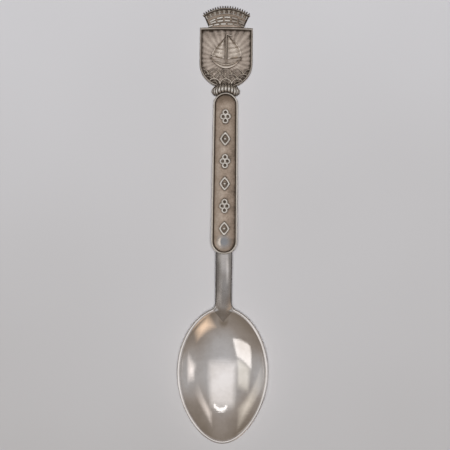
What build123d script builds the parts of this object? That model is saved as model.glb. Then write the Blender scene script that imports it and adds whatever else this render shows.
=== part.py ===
from build123d import *
import os
from math import asin, cos, degrees, hypot, radians, sin, sqrt

# A souvenir spoon lying face up on a table. +Y runs from the bowl to the crown and +Z is
# up. The origin is on the table, under the middle of the spoon's length. Millimetres.

overall_length = 120.0

# Bowl
bowl_width = 25.0
bowl_depth = 6.0            # from the rim down to the belly, outside
bowl_tip_run = 19.6         # widest point to tip
bowl_heel_run = 17.75       # widest point to heel
tip_taper = 0.13            # how much leaner than an ellipse each end is
heel_taper = 0.04
bowl_rim = 0.86             # width of the flat rim
bowl_rim_round = 0.18
rim_stand = 0.35            # how far past the rim's upright edge the round side would run
bowl_y = bowl_tip_run - overall_length / 2
heel_y = bowl_y + bowl_heel_run

# Stem
stem_width = 4.5
shoulder_radius = 2.2
shoulder_depth = 0.95
shoulder_reach = 1.9        # how far the shoulders run along the stem
heel_tip_radius = 1.3
neck_foot = (0.9, 0.5)      # how far the neck reaches before and behind the bowl's heel
stem_rise = 1.3             # height of its front end over the back of the handle
end_slope = 0.06            # how it meets the handle, rise over run
# Its side view as (y, z): the top from inside the bowl, the bottom from the heel's end
stem_top = [(-25.0, 5.3), (-22.7, 6.7), (-18.3, 8.1), (-13.2, 9.0)]
stem_bottom = [(-29.6, 1.8), (-26.2, 2.4), (-22.7, 4.1), (-18.3, 6.35), (-13.2, 7.6)]

# Handle: its own frame has x across, v along from the panel's lower end, w off the back
handle_slope = 7.0          # degrees, falling towards the crown
handle_y = -8.33            # where the panel starts
panel_length = 44.66
panel_lower_radius = 3.6
panel_upper_radius = 3.4
plate_thickness = 0.9
border_width = 0.55
border_rise = 0.8
border_round = 0.2
cushion_gap = 0.15
cushion_edge = 0.28         # height of the cushion's edge over the plate
cushion_crown = 0.85        # height of its middle
cushion_end = 3.0           # length over which its ends round off

# Six ornaments on the cushion
motif_count = 6
motif_first = 7.0
motif_pitch = 6.18
motif_half_width = 1.55
motif_half_height = 2.05
motif_stroke = 0.55
motif_rise = 0.35
motif_bead = 0.4            # radius of the bead inside a lozenge
motif_lobe = 0.9            # outer radius of a quatrefoil's lobes

# Collar
collar_v = 45.2
collar_size = (7.8, 3.3, 2.7)       # across, along and through
collar_round = 1.1

# Shield
shield_width = 14.5
shield_top = 62.8
shield_arch = 0.25
shield_side = 52.71         # where the straight sides end
shield_bottom_depth = 6.76
shield_thickness = 1.0
shield_edge = 0.48
shield_top_edge = 0.68
shield_edge_rise = 0.75

# Boat and waves on the shield's field, as (x, v)
relief_rise = 0.45
hull_rise = 0.55
wave_rise = 0.35
hull_bow = (-4.3, 54.3)
hull_stern = (4.3, 54.3)
hull_deck = (0, 52.8)
hull_keel = (0, 51.2)
mast_size = (0.4, 8.4)
mast_middle = 56.7
main_sail = [(0.4, 54.0), (0.4, 60.4), (3.0, 57.9), (4.1, 54.9), (2.2, 54.1)]
fore_sail = [(-0.5, 54.1), (-0.5, 59.4), (-1.9, 57.2), (-3.9, 55.1), (-2.2, 54.3)]
wave_radius = 1.6
wave_stroke = 0.4
wave_rows = 3
wave_level = 49.4           # middle of the upper row
wave_step = 1.35
wave_gap = 0.12             # between the waves and the shield's border

# Crown: a fan-shaped wall, bowed about a line along v
crown_top = 68.6
crown_radius = 11.9         # of the top, in plan
crown_half_base = 4.75
crown_half_top = 6.6
crown_bow = 25.0            # radius of the front
crown_crest = 1.9           # height of the front at the middle
crown_thickness = 1.0
crown_angle = degrees(asin(crown_half_top / crown_radius))
wall_drop = 0.12            # from the tops of the merlons down to the wall behind them
merlon_count = 20
merlon_height = 0.5
merlon_width = 0.4
cornice_height = 0.55
cornice_overhang = 0.28
cornice_rise = 0.4
arcade_height = 1.15
arcade_rise = 0.15
arcade_span = 0.96          # how much of the crown's width the arches take
arcade_count = 9
arcade_hole = 0.38
stone_length = 1.72
stone_height = 0.56
stone_rise = 0.2
stone_margin = 0.35         # kept clear along the crown's sides
smallest_stone = 0.2        # area below which a cut stone is left out
# For each course: height of its middle, radius of its curve, pitch and shift of the stones
stone_courses = [(65.5, 9.0, 2.08, 0.2), (64.55, 13.5, 1.98, 0.25), (63.62, 20.0, 1.85, 1.0)]

# The back of the handle meets the table under the crown's upper corners.
crown_corner = crown_top - crown_radius + sqrt(crown_radius**2 - crown_half_top**2)
handle_z = crown_corner * sin(radians(handle_slope))
handle_place = Location((0, handle_y, handle_z), (-handle_slope, 0, 0))


def bowl_body(grow):
    """A body turned about a line above the rim and cut level at the rim.

    Its cross-sections are arcs. At the rim it is the bowl's outline, grown by an amount.
    """
    half_width = bowl_width / 2 + grow
    widest = bowl_width / 2 + rim_stand
    axis_rise = (widest**2 - bowl_depth**2) / (2 * bowl_depth)
    axis_z = bowl_depth + axis_rise
    points = []
    for step in range(-8, 9):
        t = step * 0.14
        run = bowl_heel_run if t > 0 else bowl_tip_run
        taper = heel_taper if t > 0 else tip_taper
        spread = half_width * (1 - taper * t * t)
        radius = sqrt(axis_rise**2 + spread**2 * (1 - t * t))
        points.append((0, bowl_y + t * (run + grow), axis_z - radius))
    first = (0, points[0][1], axis_z)
    last = (0, points[-1][1], axis_z)
    side = make_face([Spline(*points), Polyline(points[-1], last, first, points[0])])
    turned = revolve(side, Axis((0, 0, axis_z), (0, 1, 0)))
    return split(turned, Plane.XY.offset(bowl_depth), keep=Keep.BOTTOM)


def bowl_outline():
    """The bowl's plan outline, on the table."""
    rim_face = bowl_body(0).faces().sort_by(Axis.Z)[-1]
    return Pos(0, 0, -bowl_depth) * rim_face


def bowl_block():
    """The bowl before it is hollowed: a round underside with an upright edge at the rim."""
    return bowl_body(rim_stand) & extrude(bowl_outline(), amount=bowl_depth, dir=(0, 0, 1))


def bowl():
    shell = bowl_block() - bowl_body(-bowl_rim)
    rim = shell.faces().sort_by(Axis.Z)[-1]
    return fillet(rim.edges(), bowl_rim_round)


def stem():
    """Neck, shoulders and heel, fitted to the outside of the bowl."""
    fall = -sin(radians(handle_slope)) / cos(radians(handle_slope))
    front = handle_y + panel_lower_radius
    front_drop = panel_lower_radius * fall
    top_z = handle_z + stem_rise
    end = (0, 1, end_slope)
    top = Spline(*[(0, y, z) for y, z in stem_top], (0, handle_y, top_z), tangents=[(0, 0.8, 0.55), end])
    bottom = Spline(
        *[(0, y, z) for y, z in stem_bottom], (0, handle_y, handle_z), tangents=[(0, 1, 0.08), end])
    front_line = Polyline(
        (0, handle_y, top_z), (0, front, top_z + front_drop),
        (0, front, handle_z + front_drop), (0, handle_y, handle_z),
    )
    heel_tip_y, heel_tip_z = stem_bottom[0]
    in_bowl_y, in_bowl_z = stem_top[0]
    back_line = Polyline((0, in_bowl_y, in_bowl_z), (0, heel_tip_y, in_bowl_z), (0, heel_tip_y, heel_tip_z))
    side = make_face([top, front_line, bottom, back_line])
    profile = extrude(side, amount=bowl_width / 2, both=True)

    outline = bowl_outline()
    strip = Pos(0, (front + bowl_y) / 2) * Rectangle(stem_width, front - bowl_y)
    joined = strip + outline
    corners = joined.vertices().sort_by(Axis.Y)[-4:-2]
    shoulders = fillet(corners, shoulder_radius) - outline
    shoulders &= Pos(0, heel_y) * Rectangle(bowl_width, 2 * shoulder_reach)
    before, behind = neck_foot
    neck_end = Pos(0, heel_y + (behind - before) / 2) * Rectangle(stem_width, before + behind)
    heel_end = Pos(0, heel_tip_y + heel_tip_radius) * Circle(heel_tip_radius)
    heel = make_hull(neck_end.edges() + heel_end.edges())
    bar = profile & extrude(strip - outline + heel, amount=2 * handle_z)
    ears = Pos(0, 0, bowl_depth - shoulder_depth) * extrude(shoulders, amount=shoulder_depth)
    panel_end = handle_place * extrude(pill(0), amount=handle_z / 2, both=True)
    return bar + ears - bowl_block() - panel_end


def pill(inset):
    """The panel's round-ended outline, a little wider at its lower end."""
    low = Pos(0, panel_lower_radius) * Circle(panel_lower_radius - inset)
    high = Pos(0, panel_length - panel_upper_radius) * Circle(panel_upper_radius - inset)
    return make_hull(low.edges() + high.edges())


def handle_plate():
    return extrude(pill(0), amount=plate_thickness)


def handle_border():
    ring = extrude(pill(0) - pill(border_width), amount=border_rise)
    top = ring.faces().sort_by(Axis.Z)[-1]
    return Pos(0, 0, plate_thickness) * fillet(top.edges(), border_round)


def cushion_bow(rise):
    """A long barrel whose front is the cushion's domed face, raised by the given amount."""
    half = panel_lower_radius - border_width - cushion_gap
    drop = cushion_crown - cushion_edge
    radius = (half**2 + drop**2) / (2 * drop)
    axis_w = plate_thickness + cushion_crown - radius
    low = border_width + cushion_gap
    high = panel_length - low
    face = radius + rise
    points = [(0, low, face - drop), (0, low + cushion_end, face), (0, high - cushion_end, face),
              (0, high, face - drop)]
    side = make_face([
        TangentArc(points[1], points[0], tangent=(0, -1, 0)),
        Line(points[1], points[2]),
        TangentArc(points[2], points[3], tangent=(0, 1, 0)),
        Polyline(points[3], (0, high, 0), (0, low, 0), points[0]),
    ])
    return Pos(0, 0, axis_w) * revolve(side, Axis.Y)


def handle_cushion():
    inset = border_width + cushion_gap
    block = Pos(0, 0, plate_thickness) * extrude(pill(inset), amount=3)
    return block & cushion_bow(0)


def lozenge(half_width, half_height):
    return make_face(Polyline(
        (half_width, 0), (0, half_height), (-half_width, 0), (0, -half_height), (half_width, 0)))


def open_lozenge():
    reach = motif_half_width * motif_half_height / hypot(motif_half_width, motif_half_height)
    scale = 1 - motif_stroke / reach
    inner = lozenge(scale * motif_half_width, scale * motif_half_height)
    return lozenge(motif_half_width, motif_half_height) - inner + Circle(motif_bead)


def open_quatrefoil():
    reach = (motif_half_width - motif_lobe, motif_half_height - motif_lobe)
    centres = [(reach[0], 0), (-reach[0], 0), (0, reach[1]), (0, -reach[1])]
    shape = Rectangle(reach[0], reach[1])
    for x, y in centres:
        shape += Pos(x, y) * Circle(motif_lobe)
    for x, y in centres:
        shape -= Pos(x, y) * Circle(motif_lobe - motif_stroke)
    return shape


def motif(number):
    sketch = open_quatrefoil() if number % 2 else open_lozenge()
    v = motif_first + number * motif_pitch
    block = Pos(0, v, plate_thickness) * extrude(sketch, amount=3)
    return (block & cushion_bow(motif_rise)) - cushion_bow(0)


def collar_bead():
    across, along, through = collar_size
    bar = extrude(Plane.XZ * SlotOverall(across, through), amount=along / 2, both=True)
    ends = bar.edges().filter_by_position(Axis.Y, along / 2 - 0.01, along / 2 + 0.01)
    ends += bar.edges().filter_by_position(Axis.Y, -along / 2 - 0.01, -along / 2 + 0.01)
    return Pos(0, collar_v, through / 2) * fillet(ends, collar_round)


def collar():
    """The bead, notched for the panel's round end and hollowed for the shield's foot."""
    panel_end = extrude(pill(0), amount=collar_size[2])
    shield_end = extrude(shield_outline(0, 0), amount=shield_thickness + shield_edge_rise)
    return collar_bead() - panel_end - shield_end


def shield_outline(inset, top_inset):
    half = shield_width / 2 - inset
    top = shield_top - top_inset
    corner = top - shield_arch
    bottom = EllipticalCenterArc(
        (0, shield_side), half, shield_bottom_depth - inset, start_angle=180, arc_size=180)
    return make_face([
        bottom,
        Line((half, shield_side), (half, corner)),
        ThreePointArc((half, corner), (0, top), (-half, corner)),
        Line((-half, corner), (-half, shield_side)),
    ])


def shield_plate():
    return extrude(shield_outline(0, 0), amount=shield_thickness)


def shield_border():
    ring = shield_outline(0, 0) - shield_outline(shield_edge, shield_top_edge)
    return on_field(ring, shield_edge_rise)


def on_field(sketch, rise):
    """Relief that stands on the shield's field, clear of the collar."""
    return Pos(0, 0, shield_thickness) * extrude(sketch, amount=rise)


def ship_hull():
    under = ThreePointArc(hull_bow, hull_keel, hull_stern)
    deck = ThreePointArc(hull_stern, hull_deck, hull_bow)
    return on_field(make_face([under, deck]), hull_rise)


def ship_mast():
    return on_field(Pos(0, mast_middle) * Rectangle(*mast_size), relief_rise) - ship_hull()


def sail(points):
    """A sail from its tack, head, leech, clew and foot."""
    tack, head, leech, clew, foot = points
    return make_face([Line(tack, head), ThreePointArc(head, leech, clew), ThreePointArc(clew, foot, tack)])


def ship_sail():
    return on_field(sail(main_sail) + sail(fore_sail), relief_rise)


def sea_waves():
    """Rows of overlapping crests across the foot of the field."""
    field = shield_outline(shield_edge + wave_gap, shield_top_edge)
    crests = []
    for row in range(wave_rows):
        level = wave_level - row * wave_step
        for side in range(-2, 3):
            x = (side + row % 2 * 0.5) * 2 * wave_radius
            ring = Circle(wave_radius + wave_stroke / 2) - Circle(wave_radius - wave_stroke / 2)
            upper = ring & (Pos(0, wave_radius) * Rectangle(4 * wave_radius, 2 * wave_radius))
            crests.append(Pos(x, level) * upper)
    sea = crests[0]
    for crest in crests[1:]:
        sea += crest
    return on_field(sea & field, wave_rise) - collar_bead()


def crown_drum(rise):
    """Solid cylinder whose front is the crown's bowed face, raised by the given amount."""
    drum = Cylinder(crown_bow + rise, 20, rotation=(90, 0, 0))
    return Pos(0, shield_top, crown_crest - crown_bow) * drum


def crown_fan(top_drop, side_inset):
    """The crown's outline, less a band along its top and its sides."""
    centre = crown_top - crown_radius
    radius = crown_radius - top_drop
    half_top = crown_half_top - side_inset - top_drop * (crown_half_top / crown_radius)
    half_base = crown_half_base - side_inset
    corner = centre + sqrt(radius**2 - half_top**2)
    base = shield_top - 2 * shield_arch
    return make_face([
        ThreePointArc((half_top, corner), (0, centre + radius), (-half_top, corner)),
        Polyline((-half_top, corner), (-half_base, base), (half_base, base), (half_top, corner)),
    ])


def on_crown(sketch, rise):
    """Relief that stands on the crown's bowed face."""
    return (extrude(sketch, amount=5) & crown_drum(rise)) - crown_drum(0)


def crown_plate():
    wall = crown_drum(0) - crown_drum(-crown_thickness)
    block = Pos(0, 0, -1) * extrude(crown_fan(wall_drop, 0), amount=5)
    shield = Pos(0, 0, -1) * extrude(shield_outline(0, 0), amount=5)
    return (block & wall) - shield


def fan_ring(outer_drop, inner_drop):
    """A band of the crown between two depths below its top."""
    return crown_fan(outer_drop, 0) - crown_fan(inner_drop, -2)


def crown_battlement():
    """Cornice and merlons on the top of the crown's wall."""
    centre = crown_top - crown_radius
    band = crown_fan(merlon_height, -cornice_overhang)
    band -= crown_fan(merlon_height + cornice_height, -2 * cornice_overhang)
    for number in range(merlon_count):
        angle = crown_angle * ((2 * number + 1) / merlon_count - 1)
        tooth = Pos(0, crown_radius - merlon_height) * Rectangle(merlon_width, 2 * merlon_height)
        band += Pos(0, centre) * Rot(0, 0, angle) * tooth
    return on_crown(band, cornice_rise)


def crown_arcade():
    """Band pierced by small round arches."""
    centre = crown_top - crown_radius
    top = merlon_height + cornice_height
    band = fan_ring(top, top + arcade_height)
    middle = crown_radius - top - arcade_height * 0.55
    half_angle = crown_angle * arcade_span
    for number in range(arcade_count):
        angle = half_angle * ((2 * number + 1) / arcade_count - 1)
        hole = Circle(arcade_hole) + Pos(0, -arcade_hole / 2) * Rectangle(2 * arcade_hole, arcade_hole)
        band -= Pos(0, centre) * Rot(0, 0, angle) * Pos(0, middle) * hole
    return on_crown(band, arcade_rise)


def crown_stones():
    """Three staggered courses of raised stones."""
    room = crown_fan(merlon_height + cornice_height + arcade_height, stone_margin)
    widest_pitch = stone_courses[0][2]
    stones = []
    for level, radius, pitch, shift in stone_courses:
        for number in range(-3, 4):
            angle = -degrees((number * pitch + shift) / radius)
            stone = Pos(0, radius) * Rectangle(stone_length * pitch / widest_pitch, stone_height)
            trimmed = (Pos(0, level - radius) * Rot(0, 0, angle) * stone) & room
            if trimmed and trimmed.area > smallest_stone:
                stones.append(on_crown(trimmed, stone_rise))
    return Compound(children=stones)


def on_handle(solid):
    return handle_place * solid


os.makedirs("parts", exist_ok=True)

parts = {
    "bowl": bowl(),
    "stem": stem(),
    "handle_plate": on_handle(handle_plate()),
    "handle_border": on_handle(handle_border()),
    "handle_cushion": on_handle(handle_cushion()),
    "collar": on_handle(collar()),
    "shield_plate": on_handle(shield_plate()),
    "shield_border": on_handle(shield_border()),
    "ship_hull": on_handle(ship_hull()),
    "ship_mast": on_handle(ship_mast()),
    "ship_sail": on_handle(ship_sail()),
    "sea_waves": on_handle(sea_waves()),
    "crown_plate": on_handle(crown_plate()),
    "crown_battlement": on_handle(crown_battlement()),
    "crown_arcade": on_handle(crown_arcade()),
    "crown_stones": on_handle(crown_stones()),
}
for number in range(motif_count):
    parts[f"motif_{number + 1}"] = on_handle(motif(number))

for name, solid in parts.items():
    export_step(solid, f"parts/{name}.step")
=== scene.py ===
import random
from math import acos, asin, atan2, cos, exp, hypot, pi, radians, sin, sqrt

import bmesh
import bpy
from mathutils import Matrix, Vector


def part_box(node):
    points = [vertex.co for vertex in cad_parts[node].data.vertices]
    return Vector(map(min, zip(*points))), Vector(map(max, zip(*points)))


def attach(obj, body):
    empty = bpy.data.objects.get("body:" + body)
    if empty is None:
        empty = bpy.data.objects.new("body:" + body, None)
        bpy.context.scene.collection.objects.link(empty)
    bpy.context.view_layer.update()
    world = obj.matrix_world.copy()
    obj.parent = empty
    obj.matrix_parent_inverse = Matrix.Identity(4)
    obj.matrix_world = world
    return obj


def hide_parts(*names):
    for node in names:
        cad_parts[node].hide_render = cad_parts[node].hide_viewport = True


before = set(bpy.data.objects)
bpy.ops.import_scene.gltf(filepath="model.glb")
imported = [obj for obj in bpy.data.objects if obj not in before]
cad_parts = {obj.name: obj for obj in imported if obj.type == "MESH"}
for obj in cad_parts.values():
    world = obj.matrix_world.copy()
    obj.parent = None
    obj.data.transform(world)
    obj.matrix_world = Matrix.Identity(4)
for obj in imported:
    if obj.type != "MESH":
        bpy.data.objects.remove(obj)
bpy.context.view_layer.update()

mm = 0.001                     # shapes are worked out in millimetres and scaled at the end
randomness = random.Random(12)


def boxOf(node):
    low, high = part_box(node)
    return low / mm, high / mm


def mixed(a, b, share):
    return a + (b - a) * share


def shareOf(value, low, high):
    # 0 at low, 1 at high, held beyond them
    return min(max((value - low) / (high - low), 0), 1)


def smoothMax(a, b, softness):
    return (a + b + sqrt((a - b) ** 2 + softness ** 2)) / 2


def smoothMin(a, b, softness):
    return -smoothMax(-a, -b, softness)


def solveFor(test, low, high):
    # the value between low and high where test changes from true to false
    for _ in range(40):
        middle = (low + high) / 2
        if test(middle):
            low = middle
        else:
            high = middle
    return (low + high) / 2


def curveThrough(points):
    # a smooth height through (place, height) pairs, level or straight beyond its ends
    slopes = []
    for k in range(len(points)):
        before, after = points[max(k - 1, 0)], points[min(k + 1, len(points) - 1)]
        slopes.append((after[1] - before[1]) / (after[0] - before[0]))

    def height(place):
        k = 0
        while k < len(points) - 2 and points[k + 1][0] <= place:
            k += 1
        (a, low), (b, high) = points[k], points[k + 1]
        span = b - a
        t = (place - a) / span
        if t < 0:
            return low + slopes[k] * (place - a)
        if t > 1:
            return high + slopes[k + 1] * (place - b)
        return (low * (2 * t**3 - 3 * t**2 + 1) + high * (3 * t**2 - 2 * t**3)
                + slopes[k] * span * (t**3 - 2 * t**2 + t) + slopes[k + 1] * span * (t**3 - t**2))
    return height


def newMesh():
    bm = bmesh.new()
    for layer in ("station", "across", "along"):
        bm.verts.layers.int.new(layer)
    # the wear layer holds wear and, on some pieces, painted shade and painted highlights
    bm.verts.layers.float.new("wearAndPaintedLight")
    return bm


def finishPiece(name, bm, material, node, sharp=35):
    bmesh.ops.recalc_face_normals(bm, faces=bm.faces[:])
    bmesh.ops.scale(bm, vec=Vector((mm, mm, mm)), verts=bm.verts[:])
    for layer in ("station", "across", "along"):
        bm.verts.layers.int.remove(bm.verts.layers.int[layer])
    mesh = bpy.data.meshes.new(name)
    bm.to_mesh(mesh)
    bm.free()
    mesh.materials.append(material)
    mesh.polygons.foreach_set("use_smooth", [True] * len(mesh.polygons))
    mesh.set_sharp_from_angle(angle=radians(sharp))
    piece = bpy.data.objects.new(name, mesh)
    bpy.context.scene.collection.objects.link(piece)
    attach(piece, "root")
    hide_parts(node)


def slab(bm, columns, rows, place, wearAndPaintedLight, wearAndLightBelow=0.4):
    # a sheet of columns x rows with a second sheet under it; place gives both surfaces
    across, along = bm.verts.layers.int["across"], bm.verts.layers.int["along"]
    wearAndLightLayer = bm.verts.layers.float["wearAndPaintedLight"]
    upper = bmesh.ops.create_grid(bm, x_segments=columns, y_segments=rows, size=1)["verts"]
    for vert in upper:
        vert[across] = round((vert.co.x + 1) / 2 * columns)
        vert[along] = round((vert.co.y + 1) / 2 * rows)
    sheet = list(dict.fromkeys(face for vert in upper for face in vert.link_faces))
    grown = bmesh.ops.extrude_face_region(bm, geom=sheet)["geom"]
    lower = [item for item in grown if isinstance(item, bmesh.types.BMVert)]
    for verts, under in ((upper, False), (lower, True)):
        for vert in verts:
            i, j = vert[across], vert[along]
            vert.co = place(i, j, under)
            vert[wearAndLightLayer] = wearAndPaintedLight(i / columns, j / rows) * (wearAndLightBelow if under else 1)


def ringStack(bm, outline, count, steps, place, ring=False):
    # rings of one outline laid one on the other; a step is (inset, height, wear and painted light), and
    # its wear and painted light may be a function of the place
    station, wearAndLightLayer = bm.verts.layers.int["station"], bm.verts.layers.float["wearAndPaintedLight"]
    first = bmesh.ops.create_circle(bm, cap_ends=True, segments=count, radius=1)["verts"]
    cap = first[0].link_faces[0]
    for k, vert in enumerate(first):
        vert[station] = k
    for number, (inset, height, wearAndPaintedLight) in enumerate(steps):
        if number:
            cap = bmesh.ops.extrude_discrete_faces(bm, faces=[cap])["faces"][0]
        for vert in cap.verts:
            x, v = outline(vert[station] / count, inset)
            vert.co = place(x, v, height)
            vert[wearAndLightLayer] = wearAndPaintedLight(x, v) if callable(wearAndPaintedLight) else wearAndPaintedLight
    last = list(cap.edges)
    if ring:
        bmesh.ops.delete(bm, geom=[cap], context="FACES_ONLY")
    opening = list(dict.fromkeys(edge for vert in first for edge in vert.link_edges if edge.is_boundary))
    if ring:
        bmesh.ops.bridge_loops(bm, edges=opening + last)
    else:
        bmesh.ops.holes_fill(bm, edges=opening, sides=0)


def softBlock(bm, size, edgeRound, segments):
    # a small block with rounded edges, in the middle
    block = bmesh.ops.create_cube(bm, size=1)["verts"]
    edges = list(dict.fromkeys(edge for vert in block for edge in vert.link_edges))
    bmesh.ops.scale(bm, vec=size, verts=block)
    made = bmesh.ops.bevel(bm, geom=edges, offset=edgeRound, offset_type="OFFSET", segments=segments,
                           profile=0.5, affect="EDGES", material=-1)
    return list(dict.fromkeys(vert for face in made["faces"] for vert in face.verts))


def addNode(tree, kind, inputs=None, **settings):
    node = tree.nodes.new(kind)
    for key, value in settings.items():
        setattr(node, key, value)
    for key, value in (inputs or {}).items():
        if isinstance(value, bpy.types.NodeSocket):
            tree.links.new(value, node.inputs[key])
        else:
            node.inputs[key].default_value = value
    return node


def maths(tree, operation, a, b=0.0, clamp=False):
    return addNode(tree, "ShaderNodeMath", {0: a, 1: b}, operation=operation, use_clamp=clamp).outputs[0]


def noiseOf(tree, vector, scale, detail=3.0, rough=0.55):
    return addNode(tree, "ShaderNodeTexNoise", {"Vector": vector, "Scale": scale, "Detail": detail,
                                                "Roughness": rough}).outputs["Fac"]


def stretched(tree, vector, scale, turn=0.0):
    return addNode(tree, "ShaderNodeMapping", {"Vector": vector, "Scale": scale,
                                               "Rotation": (0, 0, turn)}).outputs[0]


def levels(tree, value, low, high, outLow=0.0, outHigh=1.0):
    return addNode(tree, "ShaderNodeMapRange", {0: value, 1: low, 2: high, 3: outLow,
                                                4: outHigh}).outputs[0]


def colourMix(tree, share, a, b):
    node = addNode(tree, "ShaderNodeMix", {0: share, 6: a, 7: b}, data_type="RGBA")
    return node.outputs[2]


def polishedSilver(name, look):
    # clean silver with clouds of tarnish and fine hairline scratches; its painted light runs from a dark
    # edge colour, which is painted shade, to the clean colour
    material = bpy.data.materials.new(name)
    material.use_nodes = True
    tree = material.node_tree
    shader = tree.nodes["Principled BSDF"]
    spot = addNode(tree, "ShaderNodeTexCoord").outputs["Object"]
    cloud = noiseOf(tree, spot, look["cloudScale"], 4.0)
    tarnish = levels(tree, cloud, 0.42, 0.72, 0.0, look["tarnish"])
    colour = colourMix(tree, tarnish, look["bright"], look["dull"])
    wornAndLit = addNode(tree, "ShaderNodeAttribute", attribute_name="wearAndPaintedLight").outputs["Fac"]
    # painted light: low values mix in the dark edge colour as painted shade, higher values keep the clean
    # colour, as in the stem's painted highlight streak
    tree.links.new(colourMix(tree, wornAndLit, look["edge"], colour), shader.inputs["Base Color"])
    hairs = noiseOf(tree, stretched(tree, spot, (5200, 260, 800), 0.35), 1.0, 4.0, 0.6)
    crossHairs = noiseOf(tree, stretched(tree, spot, (240, 4600, 800), -0.5), 1.0, 4.0, 0.6)
    smear = noiseOf(tree, spot, 420, 5.0, 0.65)
    dull = maths(tree, "ADD", levels(tree, smear, 0.35, 0.75, 0.0, look["smear"]),
                 levels(tree, hairs, 0.55, 0.8, 0.0, look["hairs"]))
    rough = maths(tree, "ADD", dull, look["rough"])
    tree.links.new(rough, shader.inputs["Roughness"])
    grain = maths(tree, "ADD", hairs, crossHairs)
    height = maths(tree, "ADD", maths(tree, "MULTIPLY", grain, 0.5),
                   maths(tree, "MULTIPLY", cloud, look["dents"]))
    bump = addNode(tree, "ShaderNodeBump", {"Height": height, "Strength": look["bump"],
                                            "Distance": look["bumpDepth"]}).outputs[0]
    tree.links.new(bump, shader.inputs["Normal"])
    shader.inputs["Metallic"].default_value = 1.0
    return material


def struckSilver(name, look):
    # silver with oxide left in its hollows: bright where it is worn and where a highlight is painted,
    # brown-grey where it is not, darker still where shade is painted
    material = bpy.data.materials.new(name)
    material.use_nodes = True
    tree = material.node_tree
    shader = tree.nodes["Principled BSDF"]
    spot = addNode(tree, "ShaderNodeTexCoord").outputs["Object"]
    wornAndLit = addNode(tree, "ShaderNodeAttribute", attribute_name="wearAndPaintedLight").outputs["Fac"]
    hollow = addNode(tree, "ShaderNodeAmbientOcclusion", {"Distance": look["reach"]},
                     samples=8).outputs["AO"]
    patch = noiseOf(tree, spot, look["patchScale"], 4.0)
    grit = noiseOf(tree, spot, look["gritScale"], 4.0, 0.7)
    edge = maths(tree, "ADD", maths(tree, "MULTIPLY", wornAndLit, look["wearAndPaintedLight"]),
                 levels(tree, hollow, 0.35, 1.0, -look["shade"], 0.0))
    mottle = maths(tree, "ADD", levels(tree, patch, 0.3, 0.7, -look["patch"], look["patch"]),
                   levels(tree, grit, 0.3, 0.7, -look["grit"], look["grit"]))
    if "rays" in look:
        apart = addNode(tree, "ShaderNodeSeparateXYZ", {0: spot}).outputs
        turn = maths(tree, "ARCTAN2", maths(tree, "SUBTRACT", apart["Y"], look["raysFrom"]), apart["X"])
        ray = maths(tree, "SINE", maths(tree, "MULTIPLY", turn, look["rays"]))
        mottle = maths(tree, "ADD", mottle, levels(tree, ray, -1.0, 1.0, -0.12, 0.10))
        patch = maths(tree, "ADD", patch, levels(tree, ray, -1.0, 1.0, 0.0, 0.6))
    if "dome" in look:
        offset = addNode(tree, "ShaderNodeVectorMath", {0: spot, 1: look["dome"]},
                         operation="SUBTRACT").outputs[0]
        away = addNode(tree, "ShaderNodeVectorMath", {0: offset}, operation="LENGTH").outputs["Value"]
        polish = levels(tree, away, look["domeOuter"], look["domeInner"])
        mottle = maths(tree, "MULTIPLY", mottle, maths(tree, "SUBTRACT", 1.0, polish))
    brightness = maths(tree, "ADD", maths(tree, "ADD", edge, mottle), look["base"], clamp=True)
    ramp = addNode(tree, "ShaderNodeValToRGB", {"Fac": brightness})
    stops = ramp.color_ramp.elements
    stops[0].position, stops[0].color = 0.0, look["oxide"]
    stops[1].position, stops[1].color = 1.0, look["bright"]
    middle = stops.new(0.45)
    middle.color = look["ground"]
    colour = ramp.outputs["Color"]
    rough = levels(tree, brightness, 0.0, 1.0, look["roughHigh"], look["roughLow"])
    if "dome" in look:
        colour = colourMix(tree, polish, colour, look["domeColour"])
        # a painted highlight: where the layer passes 0.5 the colour turns bright, which draws the field's
        # crescent
        colour = colourMix(tree, levels(tree, wornAndLit, 0.5, 1.0), colour, look["bright"])
        rough = maths(tree, "MULTIPLY", rough, levels(tree, polish, 0.0, 1.0, 1.0, 0.45))
    tree.links.new(colour, shader.inputs["Base Color"])
    tree.links.new(rough, shader.inputs["Roughness"])
    tree.links.new(levels(tree, brightness, 0.0, 0.5, look["metalLow"], 1.0), shader.inputs["Metallic"])
    bump = addNode(tree, "ShaderNodeBump", {"Height": maths(tree, "ADD", grit, patch),
                                            "Strength": look["bump"], "Distance": 0.0001}).outputs[0]
    tree.links.new(bump, shader.inputs["Normal"])
    return material


# the edge colours below are painted shade, mixed in where a piece's painted light is low
bowlSilver = polishedSilver("bowlSilver", {
    "bright": (0.93, 0.895, 0.872, 1), "dull": (0.62, 0.57, 0.52, 1), "edge": (0.20, 0.17, 0.15, 1),
    "tarnish": 0.5, "cloudScale": 170,
    "rough": 0.04, "smear": 0.03, "hairs": 0.03, "dents": 1.6, "bump": 0.09, "bumpDepth": 0.00012,
})
stemSilver = polishedSilver("stemSilver", {
    "bright": (0.93, 0.89, 0.86, 1), "dull": (0.62, 0.56, 0.51, 1), "edge": (0.05, 0.042, 0.036, 1),
    "tarnish": 0.7, "cloudScale": 230,
    "rough": 0.2, "smear": 0.12, "hairs": 0.06, "dents": 1.2, "bump": 0.2, "bumpDepth": 0.00012,
})
wornSilver = struckSilver("wornSilver", {
    "oxide": (0.06, 0.046, 0.035, 1), "ground": (0.44, 0.385, 0.33, 1), "bright": (0.80, 0.765, 0.71, 1),
    "reach": 0.0006, "wearAndPaintedLight": 0.75, "shade": 0.75, "patch": 0.10, "grit": 0.10, "base": 0.30,
    "patchScale": 420, "gritScale": 2600, "roughHigh": 0.62, "roughLow": 0.24, "metalLow": 0.55,
    "bump": 0.25,
})
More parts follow.
